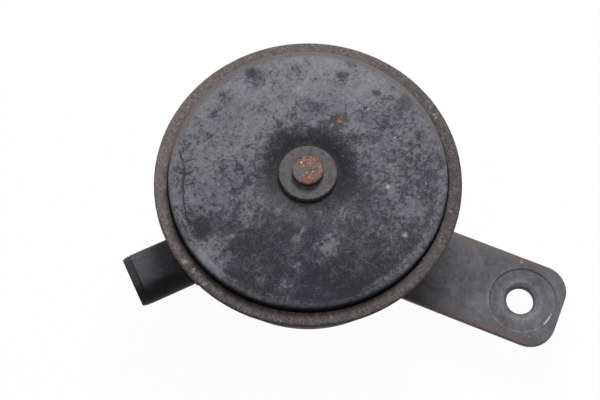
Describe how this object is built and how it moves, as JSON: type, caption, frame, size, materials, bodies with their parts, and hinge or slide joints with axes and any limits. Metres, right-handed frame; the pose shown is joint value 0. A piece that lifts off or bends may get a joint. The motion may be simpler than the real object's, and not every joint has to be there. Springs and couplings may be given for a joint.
{
  "type": "car horn",
  "caption": "Round electromagnetic disc horn for a car, with a tone disc in front, a plug socket at the side and a flat strap bracket behind.",
  "frame": {"origin": "centre of the bracket's bolt hole, on the seat face that meets the car", "axes": "+Z along the bolt and along the horn's own axis, out of the sounding face; the plug socket opens toward -X"},
  "size_m": [0.1207, 0.1126, 0.0504],
  "materials": {
    "disc_paint": "worn black paint, chalky and mottled",
    "rusty_steel": "brown weathered steel, gritty",
    "bracket_paint": "worn dark paint with rust at the edges",
    "pot_paint": "dull black paint",
    "washer_steel": "grey-brown weathered steel",
    "zinc_steel": "dulled zinc plate",
    "magnet_iron": "soft iron, zinc plated",
    "spring_steel": "spring steel",
    "copper_wire": "enamelled copper",
    "terminal_brass": "tin-plated brass",
    "contact_metal": "tungsten",
    "bobbin_nylon": "moulded nylon",
    "fibre": "vulcanised fibre sheet",
    "connector_plastic": "soft black moulding",
    "seal_rubber": "black rubber",
    "wire_sleeve": "insulated wire"
  },
  "bodies": {
    "horn_body": {"housing_pot": "pot_paint", "crimp_ring": "rusty_steel", "flange_gasket": "fibre", "diaphragm": "spring_steel", "core_stud": "magnet_iron", "coil_bobbin": "bobbin_nylon", "coil_winding": "copper_wire", "coil_keeper": "spring_steel", "contact_bracket": "zinc_steel", "bracket_rivets": "zinc_steel", "lower_insulator": "fibre", "middle_insulator": "fibre", "upper_insulator": "fibre", "breaker_rivets": "zinc_steel", "leaf_spring": "spring_steel", "fixed_arm": "zinc_steel", "fixed_contact": "contact_metal", "screw_bush": "zinc_steel", "adjusting_screw": "zinc_steel", "connector_shell": "connector_plastic", "connector_seal": "seal_rubber", "terminal_feed": "terminal_brass", "terminal_return": "terminal_brass", "coil_wire": "wire_sleeve", "breaker_wire": "wire_sleeve", "return_wire": "wire_sleeve", "mounting_bracket": "bracket_paint", "lock_washer": "zinc_steel", "mounting_nut": "zinc_steel"},
    "armature_group": {"armature": "magnet_iron", "tone_disc": "disc_paint", "front_washer": "washer_steel", "spacer_bush": "zinc_steel", "clamp_washer": "zinc_steel"},
    "breaker_arm": {"contact_arm": "zinc_steel", "moving_contact": "contact_metal", "pusher": "fibre", "arm_rivet": "zinc_steel"}
  },
  "joints": [
    {"name": "armature_stroke", "type": "slide", "parent": "horn_body", "child": "armature_group", "axis": [0, 0, 1], "range_m": [-0.0005, 0], "stiffness_N_per_m": 4000, "springref_m": 0.0003, "deforming": ["diaphragm"]},
    {"name": "breaker_flex", "type": "hinge", "parent": "horn_body", "child": "breaker_arm", "pos_m": [-0.04728, 0.08121, 0.02345], "axis": [1, 0, 0], "range_deg": [0, 1.9], "stiffness_Nm_per_rad": 0.004, "deforming": ["leaf_spring"]}
  ],
  "couplings": [
    {"joint": "breaker_flex", "follows": "armature_stroke", "rad_per_m": -62.5}
  ]
}
